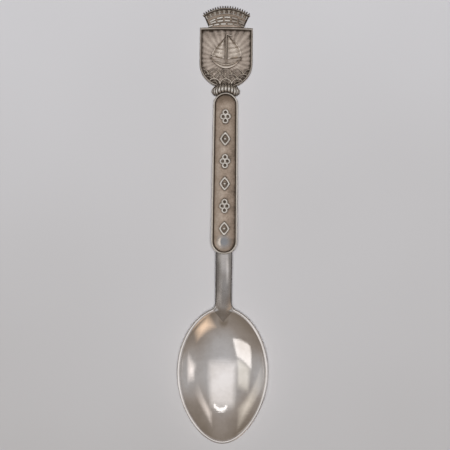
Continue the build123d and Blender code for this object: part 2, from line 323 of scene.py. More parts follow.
fieldLook = {
    "oxide": (0.055, 0.04, 0.028, 1), "ground": (0.50, 0.40, 0.32, 1), "bright": (0.80, 0.72, 0.63, 1),
    "reach": 0.0007, "wearAndPaintedLight": 0.6, "shade": 0.7, "patch": 0.14, "grit": 0.13, "base": 0.43,
    "patchScale": 380, "gritScale": 2300, "roughHigh": 0.56, "roughLow": 0.22, "metalLow": 0.6,
    "bump": 0.35,
}
fieldSilver = struckSilver("fieldSilver", fieldLook)
shieldLook = {**fieldLook, "ground": (0.50, 0.425, 0.365, 1), "shade": 0.6}
rayedSilver = struckSilver("rayedSilver", {**shieldLook, "rays": 30.0, "raysFrom": 0.0452, "base": 0.53})
reliefSilver = struckSilver("reliefSilver", {**shieldLook, "wearAndPaintedLight": 0.62, "shade": 0.7, "base": 0.45})
domedSilver = struckSilver("domedSilver", {
    **fieldLook, "dome": (0.0, -0.0047, 0.0092), "domeInner": 0.0008, "domeOuter": 0.0024,
    "domeColour": (0.27, 0.275, 0.285, 1),
})
print("materials ready")


# the bowl and the stem are one forged surface, parted where the neck meets the bowl
bowlLow, bowlHigh = boxOf("bowl")
plateLow, plateHigh = boxOf("handle_plate")
slope = radians(7)                # the handle falls towards the crown
plateThickness = 0.9
handleY = plateLow.y
handleZ = plateHigh.z - plateThickness * cos(slope)

forged = {
    "tipRun": 19.6, "tipTaper": 0.13, "heelTaper": 0.04, "facetY": -26.4,
    "rimWidth": 0.86, "rimStand": 0.35, "rimEdge": 0.5, "rimCrown": 0.2, "rimRound": 0.14,
    "halfStem": 2.25, "stemRound": 0.42, "stemThickness": 0.95, "shoulderRadius": 2.2,
    "neckRadius": 4.2, "ridge": 0.15, "keelHalf": (1.2, 1.8), "panelRadius": 3.6,
    "stripRows": 44, "shoulderRows": 26, "eggRows": 150, "columns": 46, "roundSteps": 5, "rimSteps": 6,
    # the painted highlight streak and the lighter painted patch on the stem
    "streak": (1.05, -12.8), "streakSize": (0.38, 3.2), "patch": (-1.2, -9.6), "patchSize": (0.7, 1.1),
    # top and underside of the neck in side view
    "neckTop": [(-32.0, -1.3), (-27.9, 3.45), (-25.0, 5.4), (-22.7, 6.68), (-18.3, 8.1), (-13.2, 9.0),
                (-8.33, 9.4), (-5.0, 9.6)],
    "neckUnder": [(-34.0, 3.0), (-31.0, 1.55), (-29.6, 1.8), (-26.2, 2.4), (-22.7, 4.1), (-18.3, 6.35),
                  (-13.2, 7.6), (-8.33, 8.1), (-5.0, 8.3)],
}
halfWidth = bowlHigh.x
rimZ = bowlHigh.z
bowlY = bowlLow.y + forged["tipRun"]
heelRun = bowlHigh.y - bowlY
bowlDepth = rimZ - bowlLow.z
axisRise = ((halfWidth + forged["rimStand"]) ** 2 - bowlDepth**2) / (2 * bowlDepth)
axisZ = rimZ + axisRise
neckTop = curveThrough(forged["neckTop"])
neckUnder = curveThrough(forged["neckUnder"])


def dish(x, y, grow):
    heel = y > bowlY
    t = (y - bowlY) / ((heelRun if heel else forged["tipRun"]) + grow)
    taper = forged["heelTaper"] if heel else forged["tipTaper"]
    spread = (halfWidth + grow) * (1 - taper * t * t)
    return axisZ - sqrt(max(axisRise**2 + spread**2 * (1 - t * t) - x * x, 0.01))


def egg(turn):
    # point and inward direction on the right side of the bowl's outline, heel at +90 degrees, tip at -90
    heel = turn > 0
    run = heelRun if heel else forged["tipRun"]
    taper = forged["heelTaper"] if heel else forged["tipTaper"]
    lean = 1 - taper * sin(turn) ** 2
    point = Vector((halfWidth * lean * cos(turn), bowlY + run * sin(turn)))
    dx = -halfWidth * (2 * taper * sin(turn) * cos(turn) ** 2 + lean * sin(turn))
    return point, Vector((-run * cos(turn), dx)).normalized()


def outlineRows():
    # (point, inward direction, part) down the right side, from the panel to the tip
    half, radius = forged["halfStem"], forged["shoulderRadius"]

    def centre(turn):
        point, inward = egg(turn)
        return point - inward * radius

    meet = solveFor(lambda turn: centre(turn).x > half + radius, 0.4, pi / 2)
    middle = centre(meet)
    inward = egg(meet)[1]
    last = atan2(-inward.y, -inward.x)
    rows = []
    front = handleY - 0.1
    for k in range(forged["stripRows"]):
        point = Vector((half, mixed(front, middle.y, k / forged["stripRows"])))
        rows.append((point, Vector((-1, 0)), "strip"))
    for k in range(forged["shoulderRows"]):
        turn = last * k / forged["shoulderRows"]
        inward = Vector((-cos(turn), -sin(turn)))
        rows.append((middle + inward * radius, inward, "shoulder"))
    for k in range(forged["eggRows"] + 1):
        turn = mixed(meet, radians(-89.95), k / forged["eggRows"])
        rows.append((*egg(turn), "egg"))
    return rows


def columnInsets(row):
    # distances from the outline, and the distance of the rim's inner crease
    point, inward, part = row
    reach = point.x / max(-inward.x, 1e-4)
    crease = forged["rimWidth"]
    if part == "egg":
        def onRim(inset):
            spot = point + inward * inset
            return dish(spot.x, spot.y, -forged["rimWidth"]) > rimZ
        crease = solveFor(onRim, 0.3, 1.6)
    stemShare = shareOf(point.y, bowlHigh.y, bowlHigh.y + 2.5) if part != "egg" else 0
    radius = mixed(forged["rimRound"], forged["stemRound"], stemShare)
    steps = forged["roundSteps"]
    insets = [radius * (1 - cos(pi / 2 * k / steps)) for k in range(steps + 1)]
    insets += [mixed(radius, crease, k / forged["rimSteps"]) for k in range(1, forged["rimSteps"])]
    insets += [crease - 0.05, crease, crease + 0.07]
    left = forged["columns"] - len(insets) + 1
    for k in range(1, left + 1):
        insets.append(mixed(crease + 0.07, reach, (k / left) ** 0.95))
    return insets, crease, radius


def neckShape(x, y):
    # round across the stem, its ridge a little to the right
    off = abs(x - forged["ridge"]) / forged["neckRadius"]
    if off < 0.8:
        return neckTop(y) - forged["neckRadius"] * (1 - sqrt(1 - off * off))
    return neckTop(y) - forged["neckRadius"] * (0.4 + (off - 0.8) * 1.3)


def topHeight(x, y, inset, crease):
    # the rim's soft crown, the dish inside it and the neck that runs over both
    rim = rimZ
    if inset < crease:
        rim -= forged["rimCrown"] * (2 * inset / crease - 1) ** 2
    rim = smoothMin(rim, dish(x, y, -forged["rimWidth"]), 0.04)
    return smoothMax(rim, neckShape(x, y), 0.14)


def underHeight(x, y, top):
    # the bowl's outside, with the keel of the neck running out under it
    thickness = mixed(forged["rimEdge"], forged["stemThickness"], shareOf(y, -24.5, -22))
    shell = min(dish(x, y, forged["rimStand"]), top - thickness)
    side = max(0, abs(x) - mixed(*forged["keelHalf"], shareOf(y, -29, -22)))
    return smoothMin(shell, neckUnder(y) + 1.6 * side * side, 0.25)


spoonRows = outlineRows()
spoonInsets = [columnInsets(row) for row in spoonRows]
# the pieces part along a chevron whose tip lies on the middle line
seamRow = next(k for k, (point, inward, part) in enumerate(spoonRows)
               if point.y + inward.y * point.x / max(-inward.x, 1e-4) < forged["facetY"])


def bowlPaintedShade(column, x, y):
    # painted shade: darker along the outer edge and in the crease inside the rim
    if column < forged["roundSteps"]:
        return 0.55
    return 0.8 if abs(column - forged["roundSteps"] - forged["rimSteps"] - 1) < 2 else 1.0


def stemPaintedLight(column, x, y):
    # painted shade on the edges and down the left side, lighter towards the bowl's shoulders, a painted
    # highlight streak on the right and a lighter painted patch on the left
    if column < forged["roundSteps"]:
        return 0.15
    (streakX, streakY), (streakWide, streakLong) = forged["streak"], forged["streakSize"]
    (patchX, patchY), (patchWide, patchLong) = forged["patch"], forged["patchSize"]
    streak = exp(-((x - streakX) / streakWide) ** 2 - ((y - streakY) / streakLong) ** 4)
    patch = exp(-((x - patchX) / patchWide) ** 2 - ((y - patchY) / patchLong) ** 2)
    nearBowl = shareOf(y, -18, -22)
    side = mixed(mixed(0.17, 0.6, nearBowl), mixed(0.54, 0.66, nearBowl), shareOf(x, -1.4, -0.5))
    return mixed(side, 1, streak) + 0.15 * patch


def forgedPiece(name, first, last, material, node, paintedLightOf):
    bm = newMesh()
    half = forged["columns"]

    def place(i, j, under):
        row = first + j
        point, inward, part = spoonRows[row]
        insets, crease, radius = spoonInsets[row]
        side = 1 if i >= half else -1
        inset = insets[half - abs(i - half)]
        spot = point + inward * inset
        x, y = max(spot.x, 0), spot.y
        if i == half:
            x = 0
        if part == "strip":
            bend = max(1 - row / 14, 0)
            arc = forged["panelRadius"] - sqrt(forged["panelRadius"] ** 2 - x * x)
            y += bend * (arc + 0.35)
        top = topHeight(side * x, y, inset, crease)
        low = underHeight(x, y, top)
        if inset < radius:
            lift = 1 - sin(acos(1 - inset / radius))
            lowRadius = min(radius, 0.45 * (top - low))
            return Vector((side * x, y, low + lowRadius * lift if under else top - radius * lift * 0.9))
        return Vector((side * x, y, low if under else top))

    def wearAndPaintedLight(s, t):
        column = round(min(s, 1 - s) * 2 * half)
        row = round(mixed(first, last, t))
        spot = spoonRows[row][0] + spoonRows[row][1] * spoonInsets[row][0][column]
        return paintedLightOf(column, spot.x if s > 0.5 else -spot.x, spot.y)

    slab(bm, 2 * half, last - first, place, wearAndPaintedLight, 1.0)
    bmesh.ops.remove_doubles(bm, verts=bm.verts[:], dist=0.0012)
    finishPiece(name, bm, material, node, 42)


forgedPiece("spoonStem", 0, seamRow, stemSilver, "stem", stemPaintedLight)
forgedPiece("spoonBowl", seamRow, len(spoonRows) - 1, bowlSilver, "bowl", bowlPaintedShade)
print("bowl and stem ready")


panel = {
    "length": 44.66, "lowRadius": 3.6, "highRadius": 3.4, "fieldInset": 0.7,
    "fieldEdge": 0.28, "fieldCrown": 0.85, "fieldEnd": 3.0, "stations": 160, "fieldStations": 240,
    # the crescent is a painted highlight on the field
    "crescentV": 3.4, "crescentRadius": 1.4, "crescentWidth": 0.4, "crescentHighlight": 1.2,
    # profiles as (inset, height, wear)
    "plateSteps": [(0.12, 0.0, 0.2), (0.04, 0.03, 0.1), (0.0, 0.11, 0.0), (0.0, 0.8, 0.0),
                   (0.02, 0.87, 0.0), (0.10, 0.9, -0.2), (0.9, 0.9, -0.2)],
    "borderSteps": [(0.02, 0.86, -0.1), (0.0, 1.0, 0.0), (0.0, 1.36, 0.4), (0.03, 1.5, 0.9),
                    (0.09, 1.61, 1.1), (0.18, 1.68, 1.1), (0.28, 1.7, 1.1), (0.38, 1.67, 1.0),
                    (0.46, 1.58, 0.8), (0.52, 1.44, 0.4), (0.55, 1.25, 0.0), (0.55, 0.95, -0.3),
                    (0.53, 0.86, -0.3)],
}


def onHandle(x, v, w):
    # x across, v along from the panel's lower end, w up from the handle's back
    y = handleY + v * cos(slope) + w * sin(slope)
    return Vector((x, y, handleZ - v * sin(slope) + w * cos(slope)))


def pill(share, inset):
    # round-ended outline: upper arc, left side, lower arc, right side, a quarter of the way round each
    lowV, highV = panel["lowRadius"], panel["length"] - panel["highRadius"]
    lowR, highR = max(panel["lowRadius"] - inset, 0.03), max(panel["highRadius"] - inset, 0.03)
    tilt = asin((panel["lowRadius"] - panel["highRadius"]) / (highV - lowV))
    quarter, along = int(share * 4) % 4, share * 4 % 1
    if quarter == 0:
        turn = mixed(tilt, pi - tilt, along)
        return highR * cos(turn), highV + highR * sin(turn)
    if quarter == 2:
        turn = mixed(pi - tilt, 2 * pi + tilt, along)
        return lowR * cos(turn), lowV + lowR * sin(turn)
    high, low = highR * cos(tilt), lowR * cos(tilt)
    highPoint, lowPoint = highV + highR * sin(tilt), lowV + lowR * sin(tilt)
    if quarter == 1:
        return -mixed(high, low, along), mixed(highPoint, lowPoint, along)
    return mixed(low, high, along), mixed(lowPoint, highPoint, along)


bm = newMesh()
ringStack(bm, pill, panel["stations"], panel["plateSteps"], onHandle)
finishPiece("panelPlate", bm, fieldSilver, "handle_plate")

bm = newMesh()
ringStack(bm, pill, panel["stations"], panel["borderSteps"], onHandle, ring=True)
finishPiece("panelBorder", bm, wornSilver, "handle_border", 50)

fieldHalf = panel["lowRadius"] - panel["fieldInset"]
fieldDrop = panel["fieldCrown"] - panel["fieldEdge"]
faceRadius = (fieldHalf**2 + fieldDrop**2) / (2 * fieldDrop)
endRadius = (panel["fieldEnd"] ** 2 + fieldDrop**2) / (2 * fieldDrop)


def fieldHeight(x, v):
    # an arched field that rounds off towards both ends
    low, high = panel["fieldInset"], panel["length"] - panel["fieldInset"]
    past = max(low + panel["fieldEnd"] - v, v - high + panel["fieldEnd"], 0)
    radius = faceRadius - endRadius + sqrt(max(endRadius**2 - past * past, 0))
    return plateThickness + panel["fieldCrown"] - faceRadius + sqrt(radius**2 - x * x)


def fieldPill(share, inset):
    # the sides get more stations near the ends, where the field rounds off
    quarter, along = int(share * 4) % 4, share * 4 % 1
    if quarter in (1, 3):
        along = (along + 0.5 - 0.5 * cos(pi * along)) / 2
    return pill((quarter + along) / 4, inset)


def onField(x, v, height):
    return onHandle(x, v, fieldHeight(x, v) + height)


def fieldPaintedLight(x, v):
    # painted light: a bright crescent beside the smooth lower end is a painted highlight, and the field is
    # darkened to the right as painted shade
    away = hypot(x, v - panel["crescentV"])
    ringGlow = exp(-((away - panel["crescentRadius"]) / panel["crescentWidth"]) ** 2)
    return 0.1 - 0.06 * x + panel["crescentHighlight"] * ringGlow * max(-x / max(away, 0.1), 0) ** 2


bm = newMesh()
fieldSteps = [(0.72, -0.35, -0.2), (0.70, -0.05, 0.1), (0.74, 0.0, 0.35)]
fieldSteps += [(inset, 0.0, fieldPaintedLight) for inset in (0.95, 1.2, 1.5, 1.8, 2.1, 2.4, 2.7, 3.0, 3.2, 3.34)]
ringStack(bm, fieldPill, panel["fieldStations"], fieldSteps, onField)
finishPiece("panelField", bm, domedSilver, "handle_cushion")

motifs = {
    "count": 6, "first": 7.0, "pitch": 6.18, "halfWidth": 1.55, "halfHeight": 2.05, "bulge": 0.10,
    "lobeShare": 0.58, "bead": 0.44,
    "steps": [(-0.05, -0.2, -0.4), (0.0, 0.0, 0.0), (0.01, 0.22, 0.6), (0.05, 0.30, 0.85),
              (0.13, 0.345, 0.85), (0.27, 0.35, 0.85), (0.42, 0.345, 0.85), (0.50, 0.30, 0.85),
              (0.54, 0.22, 0.6), (0.55, 0.0, 0.0), (0.60, -0.2, -0.4)],
    "beadSteps": [(-0.04, -0.2, -0.4), (0.0, 0.0, 0.0), (0.02, 0.18, 0.6), (0.10, 0.29, 0.85),
                  (0.22, 0.35, 0.85), (0.34, 0.37, 0.85)],
}


def lozengeOutline(share, inset):
    # four sides that swell a little in their middles
    a, b = motifs["halfWidth"], motifs["halfHeight"]
    scale = 1 - inset / (a * b / hypot(a, b))
    quarter, along = int(share * 4) % 4, share * 4 % 1
    corners = [(a, 0), (0, b), (-a, 0), (0, -b), (a, 0)]
    bulge = motifs["bulge"] * sin(pi * along)
    x = mixed(corners[quarter][0], corners[quarter + 1][0], along)
    y = mixed(corners[quarter][1], corners[quarter + 1][1], along)
    return x * (scale + bulge), y * (scale + bulge)


def roundOutline(radius):
    def outline(share, inset):
        turn = 2 * pi * share
        return (radius - inset) * cos(turn), (radius - inset) * sin(turn)
    return outline


def motif(number):
    # a lozenge with a bead in it, or four rings laid as a quatrefoil
    bm = newMesh()
    v = motifs["first"] + number * motifs["pitch"]

    def shifted(dx, dv, lower=0.0):
        return lambda x, y, height: onField(x + dx, v + y + dv, height - lower)

    if number % 2:
        lobe = motifs["halfWidth"] * motifs["lobeShare"]
        sideways, upwards = motifs["halfWidth"] - lobe, motifs["halfHeight"] - lobe
        lobes = ((0, upwards, 0.0), (0, -upwards, 0.0), (sideways, 0, 0.02), (-sideways, 0, 0.02))
        for dx, dv, lower in lobes:
            ringStack(bm, roundOutline(lobe), 32, motifs["steps"], shifted(dx, dv, lower), ring=True)
    else:
        ringStack(bm, lozengeOutline, 64, motifs["steps"], shifted(0, 0), ring=True)
        ringStack(bm, roundOutline(motifs["bead"]), 24, motifs["beadSteps"], shifted(0, 0))
    finishPiece(f"ornament{number + 1}", bm, wornSilver, f"motif_{number + 1}", 50)


for number in range(motifs["count"]):
    motif(number)
print("panel ready")


collar = {"v": 45.2, "half": 3.9, "along": 3.3, "through": 2.7, "ribs": 26, "groove": 0.26, "perRib": 8,
          "rows": 18, "widest": 0.42, "lowNarrow": 0.10, "highNarrow": 0.24, "endRound": 0.6}


def ribHeight(turn):
    return abs(sin(collar["ribs"] / 2 * turn)) ** 0.6


def collarPlace(i, j, under):
    # a ribbed bead: its lower edge follows the panel's round end, and it is narrower at the shield
    share = j / collar["rows"]
    turn = pi * (1 - i / (collar["ribs"] / 2 * collar["perRib"]))
    a, b = collar["half"], collar["through"] / 2
    outward = Vector((cos(turn) / a, sin(turn) / b)).normalized()
    inset = collar["endRound"] * (1 - sin(pi * share) ** 0.6) + collar["groove"] * (1 - ribHeight(turn))
    x = a * cos(turn) - outward.x * inset
    rise = max(b * sin(turn) - outward.y * inset, 0)
    widest = collar["widest"]
    off = (share - widest) / (widest if share < widest else 1 - widest)
    x *= 1 - (collar["lowNarrow"] if off < 0 else collar["highNarrow"]) * abs(off) ** 2.2
    radius = panel["highRadius"]
    low = panel["length"] - radius + sqrt(max(radius**2 - x * x, 0.3)) - 0.02
    low = max(low, collar["v"] - collar["along"] / 2 + 0.1)
    high = collar["v"] + collar["along"] / 2 - 0.5 * (x / a) ** 2
    return onHandle(x, mixed(low, high, share), b - rise if under else b + rise)


bm = newMesh()
slab(bm, collar["ribs"] // 2 * collar["perRib"], collar["rows"], collarPlace,
     lambda s, t: -0.7 + 2.3 * ribHeight(pi * s) * (0.3 + 0.7 * sin(pi * t)) * sin(pi * s) ** 0.5)
bmesh.ops.remove_doubles(bm, verts=bm.verts[:], dist=0.002)
finishPiece("reededCollar", bm, wornSilver, "collar", 60)
print("collar ready")


shield = {
    "half": 7.25, "top": 62.8, "arch": 0.25, "side": 52.71, "depth": 6.76, "thickness": 1.0,
    "edge": 0.48, "topEdge": 0.68, "stations": 200,
    "plateSteps": [(0.14, 0.0, 0.2), (0.04, 0.03, 0.1), (0.0, 0.12, 0.0), (0.0, 0.9, -0.1),
                   (0.1, 1.0, -0.4), (0.6, 1.0, -0.35), (1.2, 1.0, -0.2), (2.2, 1.0, 0.05),
                   (3.4, 1.0, 0.2), (4.6, 1.0, 0.2)],
    # the low values on the rim's outer walls are painted shade
    "rimSteps": [(0.02, 0.96, -0.4), (0.0, 1.08, -0.4), (0.0, 1.45, -0.4), (0.03, 1.58, -0.2),
                 (0.09, 1.69, 0.3), (0.17, 1.75, 0.5), (0.26, 1.75, 0.5), (0.35, 1.7, 0.4),
                 (0.42, 1.6, 0.2), (0.47, 1.42, -0.2), (0.49, 1.1, -0.4), (0.48, 0.96, -0.5)],
}


def shieldOutline(share, inset):
    # round foot, right side, arched top, left side
    half, depth = shield["half"] - inset, shield["depth"] - inset
    top = shield["top"] - inset * shield["topEdge"] / shield["edge"]
    corner = top - shield["arch"]
    if share < 0.4:
        turn = pi + pi * share / 0.4
        return half * cos(turn), shield["side"] + depth * sin(turn)
    if share < 0.6:
        return half, mixed(shield["side"], corner, (share - 0.4) / 0.2)
    if share < 0.8:
        x = mixed(half, -half, (share - 0.6) / 0.2)
        return x, top - shield["arch"] * (x / half) ** 2
    return -half, mixed(corner, shield["side"], (share - 0.8) / 0.2)


def insideShield(x, v, inset):
    # a place moved in until it lies inside the shield's edge
    half, depth = shield["half"] - inset, shield["depth"] - inset
    if v < shield["side"]:
        far = hypot(x / half, (shield["side"] - v) / depth)
        if far > 1:
            return x / far, shield["side"] - (shield["side"] - v) / far
        return x, v
    return min(max(x, -half), half), v


bm = newMesh()
ringStack(bm, shieldOutline, shield["stations"], shield["plateSteps"], onHandle)
finishPiece("shieldPlate", bm, rayedSilver, "shield_plate")

bm = newMesh()
ringStack(bm, shieldOutline, shield["stations"], shield["rimSteps"], onHandle, ring=True)
finishPiece("shieldRim", bm, wornSilver, "shield_border", 50)


def relief(x, v, height):
    return onHandle(x, v, shield["thickness"] + height)


def rounded(share, rise):
    # a soft ridge across a strip, level in its middle
    return rise * (1 - abs(2 * share - 1) ** 2.6)


boat = {
    "halfLength": 4.3, "deck": 54.3, "sag": 1.5, "keel": 3.1, "rise": 0.55, "strakes": 3,
    "hullGrid": (40, 12),
    "mast": 0.2, "mastLow": 53.0, "mastHigh": 60.9, "rigging": 0.09, "stays": 60.6, "staySpread": 4.24,
    # luff, foot, head, reach, belly and drop of the right sail and of the left one
    "sails": {1: (0.42, 54.0, 60.3, 3.75, 1.75, 0.9), -1: (-0.5, 54.1, 59.4, 3.45, 1.1, 0.95)},
    "sailGrid": (16, 24), "sailSeams": 5,
}


def bar(bm, start, end, width, rise, columns=3, rows=6, sink=0.12, wearAndPaintedLight=1.0):
    # a narrow ridge from one point to another on the field
    start, end = Vector(start), Vector(end)
    across = Vector((end.y - start.y, start.x - end.x)).normalized() * width

    def place(i, j, under):
        share = i / columns
        spot = start.lerp(end, j / rows) + across * (share - 0.5)
        return relief(spot.x, spot.y, -sink if under else 0.06 + rounded(share, rise - 0.06))

    slab(bm, columns, rows, place, lambda s, t: wearAndPaintedLight)


def hullPlace(i, j, under):
    # a crescent hull of lapped planks
    columns, rows = boat["hullGrid"]
    x, t = mixed(-1, 1, i / columns), j / rows
    top = boat["deck"] - boat["sag"] * (1 - x * x) - 0.03
    low = boat["deck"] - boat["keel"] * (1 - x * x) - 0.12
    plank = 0.10 * abs(cos(pi * t * boat["strakes"]))
    height = 0.08 + (boat["rise"] - 0.08) * (1 - abs(2 * t - 1) ** 3) - plank
    return relief(x * boat["halfLength"], mixed(low, top, t), -0.12 if under else height)


bm = newMesh()
slab(bm, *boat["hullGrid"], hullPlace, lambda s, t: 0.25 + 0.8 * abs(sin(pi * t * boat["strakes"])))
bar(bm, (-4.3, 54.35), (-3.2, 55.2), 0.3, 0.4)                 # stem post
finishPiece("boatHull", bm, reliefSilver, "ship_hull", 40)

bm = newMesh()
bar(bm, (0, boat["mastLow"]), (0, boat["mastHigh"]), 2 * boat["mast"], 0.45, 4, 14)
for side in (-1, 1):
    bar(bm, (0, boat["stays"]), (side * boat["staySpread"], boat["deck"]), boat["rigging"], 0.2, 2, 12)
bar(bm, (0.15, 60.75), (1.5, 60.45), 0.42, 0.35, 3, 8)          # pennant
finishPiece("boatMast", bm, reliefSilver, "ship_mast", 40)


def sailPlace(side):
    # luff on the mast, leech a curve down to the clew
    luffX, foot, head, reach, belly, drop = boat["sails"][side]
    columns, rows = boat["sailGrid"]

    def place(i, j, under):
        s, t = i / columns, j / rows
        leechX = luffX + side * ((reach * (1 - t)) + belly * sin(pi * t) * 0.55 + 0.12)
        leechV = mixed(foot + drop, head, t)
        x = mixed(luffX, leechX, s)
        v = mixed(mixed(foot, head, t), leechV, s) - 0.25 * sin(pi * s) * (1 - t)
        seam = 0.09 * (1 - min(abs((t * boat["sailSeams"]) % 1 - 0.5) * 2, 1) ** 0.35)
        height = 0.14 + 0.30 * sin(pi * min(s * 1.1, 1)) ** 0.7 - seam
        if i in (0, columns) or j in (0, rows):
            height = 0.16
        return relief(x, v, -0.12 if under else height)
    return place


def sailWear(s, t):
    return 0.35 + 1.1 * abs((t * boat["sailSeams"]) % 1 - 0.5)


bm = newMesh()
for side in (1, -1):
    slab(bm, *boat["sailGrid"], sailPlace(side), sailWear)
finishPiece("boatSails", bm, reliefSilver, "ship_sail", 40)

waves = {
    "rows": 3, "radius": 1.6, "stroke": 0.42, "rise": 0.36, "level": 49.5, "step": 1.3, "floor": 47.0,
    "reach": 6.6, "narrowing": 0.9, "inner": 0.52, "grid": (4, 20),
}


def crest(bm, x, level, radius, stroke, rise):
    # one arched ridge, cut off by the shield's edge and by the collar
    columns, rows = waves["grid"]

    def place(i, j, under):
        share, turn = i / columns, pi * j / rows
        reach = radius + stroke * (share - 0.5)
        px, pv = insideShield(x + reach * cos(turn), level + reach * sin(turn), 0.5)
        pv = max(pv, waves["floor"] - 0.02 * i)
        return relief(px, pv, -0.1 if under else 0.08 + rounded(share, rise - 0.08))

    slab(bm, columns, rows, place, lambda s, t: 0.3 + 0.7 * sin(pi * s))


bm = newMesh()
for row in range(waves["rows"]):
    level = waves["level"] - row * waves["step"]
    for k in range(-2, 3):
        x = (k + row % 2 * 0.5) * 2 * waves["radius"]
        if abs(x) > waves["reach"] - row * waves["narrowing"]:
            continue
        crest(bm, x, level, waves["radius"], waves["stroke"], waves["rise"] - row * 0.03)
        crest(bm, x, level, waves["radius"] * waves["inner"], waves["stroke"] * 0.7, waves["rise"] * 0.8)
finishPiece("seaWaves", bm, reliefSilver, "sea_waves", 40)
print("shield ready")


crown = {
    "top": 68.6, "radius": 11.9, "halfBase": 4.75, "halfTop": 6.6,
    "bow": 25.0, "crest": 1.9, "thickness": 1.0,
    "wallGrid": (48, 24), "corniceGrid": (60, 8), "cornice": 0.55, "overhang": 0.28,
    "merlons": 20, "merlonHeight": 0.5, "merlonWidth": 0.28, "merlonWear": -0.3,
    "arcade": 1.15, "arches": 9, "archRadius": 0.38,
    "archSteps": [(0.0, -0.2, 0.0), (0.0, 0.04, 0.1), (0.05, 0.10, 0.5), (0.4, 0.13, 0.7), (0.7, 0.2, 1.1),
                  (0.85, 0.21, 1.1), (0.96, 0.17, 0.9), (1.0, 0.08, 0.2), (1.0, -0.2, -0.5)],
    # level, radius, pitch and shift of each course of stones
    "courses": [(65.5, 9.0, 2.08, 0.2), (64.55, 13.5, 1.98, 0.25), (63.62, 20.0, 1.85, 1.0)],
    "stone": (1.72, 0.58), "stoneRise": 0.24,
}
fanCentre = crown["top"] - crown["radius"]
fanAngle = asin(crown["halfTop"] / crown["radius"])
cornerDrop = crown["merlonHeight"] + crown["cornice"]


def onCrown(x, v, height):
    # the crown bows forward across its width
    return onHandle(x, v, crown["crest"] - crown["bow"] + sqrt((crown["bow"] + height) ** 2 - x * x))


def fanHalf(v):
    # half the crown's width at a level
    corner = fanCentre + sqrt(crown["radius"] ** 2 - crown["halfTop"] ** 2)
    foot = shield["top"] - 0.5
    return mixed(crown["halfBase"], crown["halfTop"], (v - foot) / (corner - foot))


def arcPoint(turn, drop):
    # a place below the crown's arched top
    return (crown["radius"] - drop) * sin(turn), fanCentre + (crown["radius"] - drop) * cos(turn)


def wallPlace(i, j, under):
    columns, rows = crown["wallGrid"]
    s, t = mixed(-1, 1, i / columns), j / rows
    topX, topV = arcPoint(s * fanAngle * 0.99, crown["merlonHeight"] - 0.02)
    baseX, baseV = s * crown["halfBase"], shield["top"] - shield["arch"] * (s * 0.65) ** 2 - 0.02
    height = -crown["thickness"] if under else 0.0
    if not under and (i in (0, columns) or j in (0, rows)):
        height = -0.1
    return onCrown(mixed(baseX, topX, t), mixed(baseV, topV, t), height)


bm = newMesh()
# painted shade: the wall is darkened behind the merlons and along its sides
slab(bm, *crown["wallGrid"], wallPlace, lambda s, t: -0.9 if t > 0.9 or min(s, 1 - s) < 0.03 else 0.15)
finishPiece("crownWall", bm, fieldSilver, "crown_plate")


def cornicePlace(i, j, under):
    columns, rows = crown["corniceGrid"]
    s, t = mixed(-1, 1, i / columns), j / rows
    turn = s * (fanAngle + crown["overhang"] / crown["radius"])
    low, high = crown["merlonHeight"] + crown["cornice"] * 0.75, crown["merlonHeight"] - 0.04
    x, v = arcPoint(turn, mixed(low, high, t))
    height = -0.25 if under else mixed(0.06, 0.32, (1 - abs(2 * t - 1) ** 3))
    return onCrown(x, v, height)


bm = newMesh()
slab(bm, *crown["corniceGrid"], cornicePlace, lambda s, t: -0.2 + 0.5 * sin(pi * t))
wearAndLightLayer = bm.verts.layers.float["wearAndPaintedLight"]
for k in range(crown["merlons"]):
    turn = fanAngle * ((2 * k + 1) / crown["merlons"] - 1)
    for vert in softBlock(bm, (crown["merlonWidth"], crown["merlonHeight"] + 0.06, 1.0), 0.07, 2):
        across, up, height = vert.co
        x, v = arcPoint(turn, crown["merlonHeight"] / 2 + 0.03 - up)
        vert.co = onCrown(x + across * cos(turn), v - across * sin(turn), height - 0.1)
        vert[wearAndLightLayer] = crown["merlonWear"]
finishPiece("crownBattlement", bm, wornSilver, "crown_battlement", 40)


def archOutline(share, inset):
    # from the cell's edge (inset 0) to the arch's opening (inset 1)
    turn = 2 * pi * share
    dx, dv = cos(turn), sin(turn)
    radius = crown["archRadius"]
    halfCell = fanAngle * crown["radius"] * 0.94 / crown["arches"] - 0.01
    cell = min(halfCell / max(abs(dx), 1e-6), crown["arcade"] / 2 / max(abs(dv), 1e-6))
    hole = radius if dv >= 0 else min(radius / max(abs(dx), 1e-6), radius / max(abs(dv), 1e-6))
    reach = mixed(cell, hole, inset)
    return reach * dx, reach * dv


bm = newMesh()
for k in range(crown["arches"]):
    turn = fanAngle * 0.97 * ((2 * k + 1) / crown["arches"] - 1)

    def cellPlace(x, v, height):
        px, pv = arcPoint(turn, cornerDrop + crown["arcade"] / 2 - v)
        return onCrown(px + x * cos(turn), pv - x * sin(turn), height)

    ringStack(bm, archOutline, 48, crown["archSteps"], cellPlace, ring=True)
finishPiece("crownArcade", bm, wornSilver, "crown_arcade", 40)

